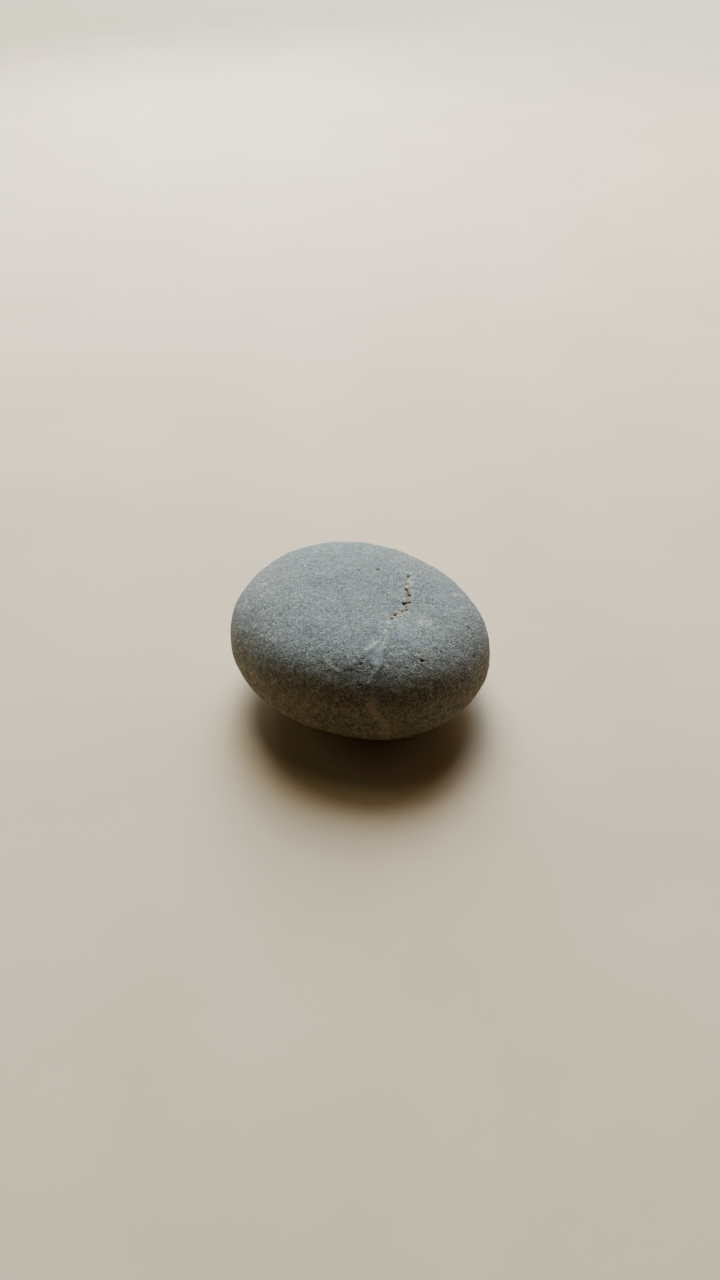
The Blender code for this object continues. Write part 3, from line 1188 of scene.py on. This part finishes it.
@dataclass(frozen=True)
class StoneFinish:
    """Dry fine sandstone: grey grains, pale and rusty patches, open pores, a quartz vein."""

    cool: Triple = (0.166, 0.181, 0.181)
    warm: Triple = (0.19, 0.19, 0.168)
    dark_grain: Triple = (0.08, 0.083, 0.079)
    pale_grain: Triple = (0.36, 0.365, 0.338)
    blue_grain: Triple = (0.13, 0.17, 0.2)
    rust: Triple = (0.27, 0.192, 0.09)
    quartz: Triple = (0.6, 0.6, 0.5)
    # Pale bluish painted sheen on the polished facets.
    polish_and_sheen: Triple = (0.275, 0.3, 0.3)
    # Painted shade for the pits, the pores, the pocket and the cracks.
    hollow_shade: Triple = (0.095, 0.072, 0.036)
    # The belly's tint: a brown stain together with painted warm bounce and painted shade on the lower
    # front.
    belly_rust_and_bounce: Triple = (0.97, 0.755, 0.56)
    belly_olive_and_bounce: Triple = (0.85, 0.755, 0.53)
    belly_axis: Triple = (-0.08, 0.127, 1.0)
    belly_top_level: float = 31.0
    belly_full_level: float = 20.8
    belly_wander: float = 6.0
    belly_sag: float = 6.5
    front: Triple = (0.53, -0.848, 0.0)
    girth: Triple = (0.0283, 0.0177, 0.0)
    bedding: Triple = (-0.354, 0.568, 0.743)
    draw_out: float = 1.1
    grain_size: float = 0.27
    bump: float = 0.18
    roughness: tuple[float, float] = (0.62, 0.9)
    gloss: float = 0.45

    def mark(self, lay: Sockets, mark: Mark) -> bpy.types.NodeSocket:
        """The socket that reads one of the stone's own marks."""
        return lay.node("ShaderNodeAttribute", attribute_name=mark.value).outputs["Fac"]

    def place(self, lay: Sockets) -> bpy.types.NodeSocket:
        """The place on the piece.

        Args:
            lay: The nodes of the material.

        Returns:
            The place in millimetres.
        """
        scale = lay.node("ShaderNodeVectorMath", operation="SCALE")
        lay.join(lay.node("ShaderNodeTexCoord").outputs["Object"], scale.inputs[0])
        scale.inputs["Scale"].default_value = 1.0 / MM
        return scale.outputs[0]

    def along(self, lay: Sockets, place: bpy.types.NodeSocket, axis: Triple) -> bpy.types.NodeSocket:
        """How far a place lies along an axis, by the dot product of the two.

        Args:
            lay: The nodes of the material.
            place: The place.
            axis: The axis.

        Returns:
            The distance, in the unit of the place.
        """
        made = lay.node("ShaderNodeVectorMath", operation="DOT_PRODUCT")
        lay.join(place, made.inputs[0])
        made.inputs[1].default_value = axis
        return made.outputs["Value"]

    def bedded(self, lay: Sockets, place: bpy.types.NodeSocket) -> bpy.types.NodeSocket:
        """The place squeezed along the bedding, so that grains are drawn out that way.

        Args:
            lay: The nodes of the material.
            place: The place.

        Returns:
            The squeezed place.
        """
        far = self.along(lay, place, self.bedding)
        back = lay.node("ShaderNodeVectorMath", operation="SCALE")
        back.inputs[0].default_value = self.bedding
        lay.join(lay.times(far, 1.0 / self.draw_out - 1.0), back.inputs["Scale"])
        squeezed = lay.node("ShaderNodeVectorMath", operation="ADD")
        lay.join(place, squeezed.inputs[0])
        lay.join(back.outputs[0], squeezed.inputs[1])
        return squeezed.outputs[0]

    def strewn(
        self, lay: Sockets, group: bpy.types.NodeTree, place: object, **values: float
    ) -> bpy.types.NodeSocket:
        """The mask of one effect, laid with its own values.

        Args:
            lay: The nodes of the material.
            group: The effect's group.
            place: Where it is read.
            values: The group's other inputs, by name.

        Returns:
            The mask.
        """
        made = lay.node("ShaderNodeGroup", node_tree=group)
        lay.feed(made.inputs["Place"], place)
        for name, value in values.items():
            made.inputs[name].default_value = value
        return made.outputs["Mask"]

    def patterns(self, lay: Sockets, place: bpy.types.NodeSocket) -> StonePatterns:
        """Lay every pattern once.

        Args:
            lay: The nodes of the material.
            place: The place on the piece.

        Returns:
            The patterns.
        """
        bed = self.bedded(lay, place)
        grains = lay.node("ShaderNodeGroup", node_tree=grain_group())
        lay.join(bed, grains.inputs["Place"])
        grains.inputs["Size"].default_value = self.grain_size
        flecks, winding = fleck_group(), strand_group()
        loops = self.strewn(lay, winding, bed, Loop=1.9, Width=0.04)
        curls = self.strewn(lay, winding, bed, Loop=1.0, Width=0.05)
        return StonePatterns(
            tone=grains.outputs["Tone"],
            tint=grains.outputs["Tint"],
            grain=grains.outputs["Height"],
            pale=self.strewn(lay, flecks, bed, Spacing=0.85, Share=0.16, Size=0.22),
            dark=self.strewn(lay, flecks, bed, Spacing=0.75, Share=0.14, Size=0.27),
            sparks=self.strewn(lay, flecks, bed, Spacing=1.2, Share=0.3, Size=0.12),
            pores=self.strewn(lay, flecks, bed, Spacing=1.3, Share=0.12, Size=0.12),
            strands=lay.math("MAXIMUM", loops, curls),
            cloud=lay.noise(place, 2.4),
            speck=lay.noise(bed, 0.19, 1.0),
            wide=lay.noise(place, 11.0, 3.0),
            patch=lay.noise(place, 3.2, 3.0, 0.6),
            fine=lay.noise(bed, 0.42, 3.0, 0.7),
        )

    def lowness(self, lay: Sockets, place: bpy.types.NodeSocket, wide: object) -> bpy.types.NodeSocket:
        """How far down the belly a place lies, from 0 on the crown to 1 on the belly's front.

        In words: the height is read along the leaning belly axis, and it is raised by the
        square of the distance from the middle of the stone's girth and by a wide noise. The
        result falls to 0.35 of itself on the back, so the painted warm bounce and shade that
        it places lie mostly on the side that faces the camera.

        Args:
            lay: The nodes of the material.
            place: The place on the piece.
            wide: The wide noise.

        Returns:
            The share.
        """
        off = self.along(lay, place, self.girth)
        level = self.along(lay, place, self.belly_axis)
        level = lay.math("MULTIPLY_ADD", lay.times(off, off), self.belly_sag, level)
        level = lay.math("MULTIPLY_ADD", wide, self.belly_wander, level)
        facing = lay.rise(self.along(lay, place, self.front), -12.0, 12.0, 0.65)
        return lay.times(lay.rise(level, self.belly_top_level, self.belly_full_level), lay.math("ADD", facing, 0.35))

    def colour(self, lay: Sockets, shown: StonePatterns, low: object) -> bpy.types.NodeSocket:
        """The colour of the stone, laid coat over coat.

        In words: each coat has a colour and a share, and covers what lies under it by that
        share. Several shares grow toward the belly, where the grain is coarser. The tint of
        the belly, a brown stain with painted warm bounce and shade, is then multiplied in,
        and painted shade fills the hollows.

        Args:
            lay: The nodes of the material.
            shown: The patterns.
            low: How far down the belly a place lies.

        Returns:
            The colour.
        """
        ragged = lay.math("MULTIPLY_ADD", shown.fine, 0.8, -0.4)
        vein = lay.rise(lay.math("ADD", self.mark(lay, Mark.QUARTZ), ragged), 0.15, 0.75)
        rust = lay.rise(lay.math("ADD", self.mark(lay, Mark.RUST), ragged), 0.2, 0.7)
        hollow = lay.rise(lay.math("ADD", self.mark(lay, Mark.HOLLOW), ragged), 0.3, 0.75)
        polish_and_sheen = self.mark(lay, Mark.POLISH_AND_SHEEN)
        deep = lay.math("MULTIPLY_ADD", low, 0.5, 0.3)
        crisp = lay.math("MULTIPLY_ADD", low, 0.4, 0.35)
        freckled = lay.math("MULTIPLY_ADD", low, 0.1, 0.45)
        threaded = lay.math("MULTIPLY_ADD", low, 0.7, 0.6)
        coats = (
            (lay.rise(shown.patch, 0.53, 0.75, 0.26), self.rust),
            (lay.rise(shown.patch, 0.47, 0.25, 0.3), self.blue_grain),
            (lay.times(vein, lay.rise(shown.speck, 0.2, 0.55)), self.quartz),
            (lay.times(lay.rise(shown.cloud, 0.52, 0.3), deep), self.dark_grain),
            (lay.times(lay.rise(shown.cloud, 0.52, 0.72), deep), self.pale_grain),
            (lay.rise(shown.tone, 0.45, 0.0, 0.7), self.dark_grain),
            (lay.rise(shown.tone, 0.65, 1.0, 0.7), self.pale_grain),
            (lay.rise(shown.speck, 0.5, 0.36, 0.95), self.dark_grain),
            (lay.rise(shown.speck, 0.52, 0.66, 0.95), self.pale_grain),
            (lay.times(crisp, lay.rise(shown.fine, 0.5, 0.33)), self.dark_grain),
            (lay.times(crisp, lay.rise(shown.fine, 0.52, 0.7, 0.85)), self.pale_grain),
            (lay.rise(shown.tint, 0.75, 1.0, 0.3), self.rust),
            (lay.rise(shown.tint, 0.25, 0.0, 0.35), self.blue_grain),
            (lay.times(shown.dark, freckled), self.dark_grain),
            (lay.times(shown.strands, threaded), self.pale_grain),
            (lay.times(shown.pale, 0.75), self.pale_grain),
            # Painted sheen on the polished facets.
            (lay.times(lay.times(polish_and_sheen, polish_and_sheen), lay.rise(shown.fine, 0.7, 0.4, 0.9)), self.polish_and_sheen),
            (lay.times(rust, 0.6), self.rust),
            (lay.times(shown.sparks, 0.8), self.quartz),
            # Painted shade darkens the pores.
            (lay.times(shown.pores, 0.6), self.hollow_shade),
        )
        base = lay.blend(lay.rise(shown.wide, 0.38, 0.62), (*self.cool, 1.0), (*self.warm, 1.0))
        for share, coat in coats:
            base = lay.blend(share, base, (*coat, 1.0))
        # The belly's tint is multiplied in: a brown stain with painted warm bounce and shade, strongest
        # on the side that faces the camera.
        mottle = lay.rise(shown.patch, 0.42, 0.58)
        belly = lay.blend(mottle, (*self.belly_rust_and_bounce, 1.0), (*self.belly_olive_and_bounce, 1.0))
        # Painted shade fills the hollows.
        return lay.blend(hollow, lay.blend(low, base, belly, "MULTIPLY"), (*self.hollow_shade, 1.0))

    def relief(self, lay: Sockets, shown: StonePatterns) -> bpy.types.NodeSocket:
        """The fine relief: a weighted sum of the patterns, which the polished facets smooth away.

        Args:
            lay: The nodes of the material.
            shown: The patterns.

        Returns:
            The normal.
        """
        height = lay.times(shown.grain, 0.3)
        weights = (
            (shown.fine, 0.8),
            (shown.speck, 0.5),
            (shown.strands, 0.5),
            (shown.pores, -0.8),
            (shown.dark, -0.22),
        )
        for pattern, weight in weights:
            height = lay.math("MULTIPLY_ADD", pattern, weight, height)
        height = lay.times(height, lay.rise(self.mark(lay, Mark.POLISH_AND_SHEEN), 1.1, 0.0))
        bump = lay.node("ShaderNodeBump")
        bump.inputs["Strength"].default_value = 1.0
        bump.inputs["Distance"].default_value = self.bump * MM
        lay.join(height, bump.inputs["Height"])
        return bump.outputs["Normal"]

    def build(self) -> bpy.types.Material:
        """Make the material.

        Returns:
            The material, ready to be put on the stone.
        """
        material = bpy.data.materials.new("stone")
        material.use_nodes = True
        lay = Sockets(material.node_tree)
        shader = material.node_tree.nodes["Principled BSDF"]
        place = self.place(lay)
        shown = self.patterns(lay, place)
        low = self.lowness(lay, place, shown.wide)
        dull = lay.node("ShaderNodeMapRange")
        lay.join(shown.tone, dull.inputs["Value"])
        dull.inputs["To Min"].default_value = self.roughness[1]
        dull.inputs["To Max"].default_value = self.roughness[0]
        lay.join(self.colour(lay, shown, low), shader.inputs["Base Color"])
        lay.join(dull.outputs["Result"], shader.inputs["Roughness"])
        lay.join(self.relief(lay, shown), shader.inputs["Normal"])
        shader.inputs["Specular IOR Level"].default_value = self.gloss
        return material


@dataclass
class Pebble:
    """The stone itself, as one closed piece that stands for the CAD node of the same name.

    The ratios are those of the smooth form to the box of the CAD node, whose swells are in it.
    """

    node: str = "pebble"
    length_ratio: float = 1.00102
    width_ratio: float = 0.99962
    finish: StoneFinish = field(default_factory=StoneFinish)

    def build(self) -> bpy.types.Object:
        """Shape the stone, dress it and tie it to the frame.

        Returns:
            The finished object, at the origin.
        """
        low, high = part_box(self.node)
        size = (high - low) / MM
        form = StoneForm(self.length_ratio * size.x, self.width_ratio * size.y, size.z)
        rays, quads, places = StoneWrap(form).build()
        smooth = form.surface(rays)
        height, marks = StoneRelief(form).read(smooth)
        points = smooth + outward(smooth, quads) * height[:, None]
        points[:, 2] = np.maximum(points[:, 2], low.z / MM)

        mesh = bpy.data.meshes.new("pebble_stone")
        mesh.from_pydata(points * MM, [], quads)
        mesh.shade_smooth()
        layer = mesh.uv_layers.new(name="OFBake")
        layer.uv.foreach_set("vector", places.reshape(-1).astype(np.float32))
        for mark, values in marks.items():
            column = mesh.attributes.new(mark.value, "FLOAT", "POINT")
            column.data.foreach_set("value", np.clip(values, 0.0, 1.0).astype(np.float32))
        mesh.materials.append(self.finish.build())
        mesh.validate()
        piece = bpy.data.objects.new("pebble_stone", mesh)
        bpy.context.scene.collection.objects.link(piece)
        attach(piece, "root")
        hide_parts(self.node)
        LOG.info("pebble_stone: %d points, %d quads", len(points), len(quads))
        return piece


@dataclass(frozen=True)
class FloorFinish:
    """Plain pale paper: warm, dull and faintly clouded."""

    colour: Triple = (0.68, 0.53, 0.38)
    shade: Triple = (0.65, 0.505, 0.36)
    roughness: float = 0.75

    def build(self) -> bpy.types.Material:
        """Make the material.

        Returns:
            The material, ready to be put on the floor.
        """
        material = bpy.data.materials.new("floor")
        material.use_nodes = True
        lay = Sockets(material.node_tree)
        shader = material.node_tree.nodes["Principled BSDF"]
        cloud = lay.noise(lay.node("ShaderNodeTexCoord").outputs["Object"], 0.05, 3.0)
        base = lay.blend(lay.rise(cloud, 0.35, 0.65), (*self.colour, 1.0), (*self.shade, 1.0))
        lay.join(base, shader.inputs["Base Color"])
        shader.inputs["Roughness"].default_value = self.roughness
        shader.inputs["Specular IOR Level"].default_value = 0.2
        return material


@dataclass(frozen=True)
class Lamp:
    """A round soft light that faces the stone: where it hangs, its colour and its power."""

    name: str
    azimuth: float
    elevation: float
    colour: Triple
    distance: float = 1.25
    spread: float = 30.0


@dataclass
class Studio:
    """The pale floor, the soft lights and the camera."""

    lamps: tuple[Lamp, ...] = (
        Lamp("window_left", -12.0, 52.0, (0.606, 0.687, 0.745)),
        Lamp("window_right", 12.0, 52.0, (0.249, 0.356, 0.493)),
        Lamp("window_sill", 12.0, 38.0, (0.26, 0.239, 0.237)),
        Lamp("low_left", -12.0, 25.0, (0.398, 0.44, 0.469), 0.5),
        Lamp("low_right", 12.0, 25.0, (0.092, 0.207, 0.242)),
        Lamp("top_left", -12.0, 68.0, (0.192, 0.173, 0.107)),
        Lamp("side_left", -90.0, 12.0, (0.045, 0.02, 0.01)),
        Lamp("side_right", 35.0, 25.0, (0.107, 0.059, 0.01), 0.5),
        Lamp("fill_left", -60.0, 12.0, (0.149, 0.166, 0.13)),
        Lamp("fill_right", 60.0, 12.0, (0.132, 0.128, 0.114)),
    )
    backdrop: Triple = (0.86, 0.78, 0.64)
    ambient: float = 0.01
    floor_radius: float = 1.15

    def floor(self) -> bpy.types.Object:
        """A round level sheet under the stone.

        In words: rings of points at equal steps of the radius, joined by quads, and by
        triangles to the point in the middle.

        Returns:
            The floor.
        """
        turn = np.linspace(0.0, 2.0 * math.pi, 97)[:-1]
        reach = np.linspace(0.0, self.floor_radius, 9)[1:]
        ring = np.stack((np.cos(turn), np.sin(turn), np.zeros(turn.size)), axis=1)
        points = np.concatenate((np.zeros((1, 3)), (reach[:, None, None] * ring).reshape(-1, 3)))
        index = 1 + np.arange(reach.size * turn.size).reshape(reach.size, turn.size)
        after = np.roll(index, -1, axis=1)
        quads = np.stack((index[:-1], index[1:], after[1:], after[:-1]), axis=-1).reshape(-1, 4)
        middle = np.stack((np.zeros_like(index[0]), index[0], after[0]), axis=1)
        faces = quads.tolist() + middle.tolist()
        mesh = bpy.data.meshes.new("floor")
        mesh.from_pydata(points, [], faces)
        mesh.materials.append(FloorFinish().build())
        sheet = bpy.data.objects.new("floor", mesh)
        bpy.context.scene.collection.objects.link(sheet)
        return sheet

    def light(self, lamp: Lamp) -> bpy.types.Object:
        """Hang one soft light.

        In words: a lamp of colour c, which gives the floor c * pi watts a square metre from
        its distance d, has the power pi^2 * d^2 * c.

        Args:
            lamp: The light to hang, with azimuths counted from straight behind the stone.

        Returns:
            The light's object.
        """
        turn = VIEW.turn() - math.radians(lamp.azimuth)
        lift = math.radians(lamp.elevation)
        aim = Vector((-math.sin(turn) * math.cos(lift), math.cos(turn) * math.cos(lift), math.sin(lift)))
        peak = max(lamp.colour)
        data = bpy.data.lights.new(lamp.name, "AREA")
        data.shape = "DISK"
        data.size = 2.0 * lamp.distance * math.tan(math.radians(lamp.spread / 2))
        data.color = tuple(part / peak for part in lamp.colour)
        data.energy = math.pi**2 * lamp.distance**2 * peak
        made = bpy.data.objects.new(lamp.name, data)
        made.location = Vector(VIEW.target) * MM + aim * lamp.distance
        made.rotation_euler = aim.to_track_quat("Z", "Y").to_euler()
        made.visible_camera = False
        bpy.context.scene.collection.objects.link(made)
        return made

    def world(self) -> None:
        """A dim room that the camera sees as a pale backdrop."""
        room = bpy.data.worlds.new("studio")
        room.use_nodes = True
        lay = Sockets(room.node_tree)
        dim = room.node_tree.nodes["Background"]
        dim.inputs["Color"].default_value = (*self.backdrop, 1.0)
        dim.inputs["Strength"].default_value = self.ambient
        pale = lay.node("ShaderNodeBackground")
        pale.inputs["Color"].default_value = (*self.backdrop, 1.0)
        mix = lay.node("ShaderNodeMixShader")
        lay.join(lay.node("ShaderNodeLightPath").outputs["Is Camera Ray"], mix.inputs[0])
        lay.join(dim.outputs[0], mix.inputs[1])
        lay.join(pale.outputs[0], mix.inputs[2])
        lay.join(mix.outputs[0], room.node_tree.nodes["World Output"].inputs["Surface"])
        bpy.context.scene.world = room

    def camera(self) -> bpy.types.Object:
        """The camera, level, aimed at the middle of the stone.

        Returns:
            The camera's object, which is also the scene's camera.
        """
        data = bpy.data.cameras.new("camera")
        data.sensor_fit = "VERTICAL"
        data.sensor_height = 36.0
        data.lens = VIEW.focal_pixels * data.sensor_height / VIEW.frame_size[1]
        data.clip_start = 0.01
        made = bpy.data.objects.new("camera", data)
        made.location = Vector(VIEW.eye() * MM)
        made.rotation_euler = Vector(VIEW.back()).to_track_quat("Z", "Y").to_euler()
        bpy.context.scene.collection.objects.link(made)
        bpy.context.scene.camera = made
        return made

    def build(self) -> None:
        """Lay the floor, hang the lights, and set the camera and the tones."""
        self.camera()
        self.floor()
        for lamp in self.lamps:
            self.light(lamp)
        self.world()
        settings = bpy.context.scene.view_settings
        settings.view_transform = "AgX"
        settings.look = "AgX - Medium High Contrast"
        LOG.info("studio: %d soft lights", len(self.lamps))


def main() -> None:
    """Build the scene piece by piece."""
    logging.basicConfig(level=logging.INFO, format="%(name)s %(message)s")
    Studio().build()
    Pebble().build()


if __name__ == "__main__":
    main()
